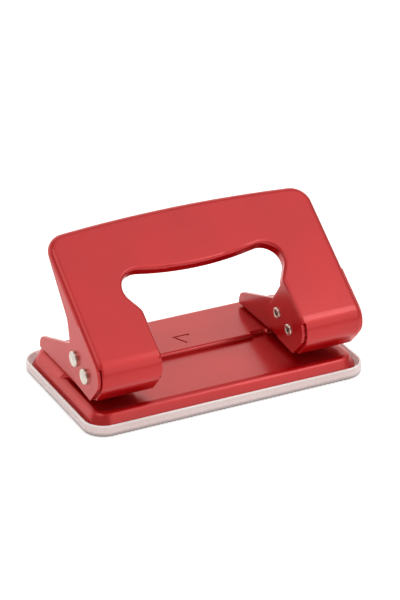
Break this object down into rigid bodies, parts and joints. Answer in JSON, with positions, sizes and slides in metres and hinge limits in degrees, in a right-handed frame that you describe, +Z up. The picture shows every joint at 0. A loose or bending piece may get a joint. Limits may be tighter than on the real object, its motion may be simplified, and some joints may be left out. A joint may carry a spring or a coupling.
{
  "type": "hole punch",
  "caption": "Desk paper punch: tilted steel lever with a hand opening over a stepped base, riveted brackets, sprung cutting pins and a pull-off chip tray.",
  "frame": {"origin": "centre of the chip tray's underside, on the table", "axes": "+X along the long side to the user's right, +Y to the rear, +Z up; paper enters towards +Y"},
  "size_m": [0.1088, 0.0641, 0.0585],
  "materials": {
    "painted_steel": "satin red paint over pressed steel",
    "nickel_steel": "nickel plated, slightly worn",
    "tool_steel": "ground",
    "zinc_steel": "zinc plated",
    "tray_plastic": "translucent, soft gloss"
  },
  "bodies": {
    "tray": {"chip_tray": "tray_plastic"},
    "base": {"base_plate": "painted_steel", "bracket_left": "painted_steel", "bracket_right": "painted_steel", "bracket_rivets_left": "nickel_steel", "bracket_rivets_right": "nickel_steel", "return_spring_left": "zinc_steel", "return_spring_right": "zinc_steel"},
    "handle": {"lever": "painted_steel", "drive_pin_left": "nickel_steel", "drive_pin_right": "nickel_steel", "pivot_pin_left": "nickel_steel", "pivot_pin_right": "nickel_steel", "pivot_spacer_left": "nickel_steel", "pivot_spacer_right": "nickel_steel"},
    "cutter_left": {"punch_left": "tool_steel", "spring_washer_left": "zinc_steel", "retaining_clip_left": "tool_steel"},
    "cutter_right": {"punch_right": "tool_steel", "spring_washer_right": "zinc_steel", "retaining_clip_right": "tool_steel"}
  },
  "joints": [
    {"name": "tray_release", "type": "slide", "parent": "tray", "child": "base", "axis": [0, 0, 1], "range_m": [0, 0.012]},
    {"name": "lever_hinge", "type": "hinge", "parent": "base", "child": "handle", "pos_m": [0, -0.0208, 0.0193], "axis": [-1, 0, 0], "range_deg": [0, 24], "stiffness_Nm_per_rad": 0.12, "springref_deg": -22.92},
    {"name": "punch_slide_left", "type": "slide", "parent": "base", "child": "cutter_left", "axis": [0, 0, -1], "range_m": [0, 0.0038], "deforming": ["return_spring_left"]},
    {"name": "punch_slide_right", "type": "slide", "parent": "base", "child": "cutter_right", "axis": [0, 0, -1], "range_m": [0, 0.0038], "deforming": ["return_spring_right"]}
  ],
  "couplings": [
    {"joint": "punch_slide_left", "follows": "lever_hinge", "m_per_rad": 0.0089286},
    {"joint": "punch_slide_right", "follows": "lever_hinge", "m_per_rad": 0.0089286}
  ]
}
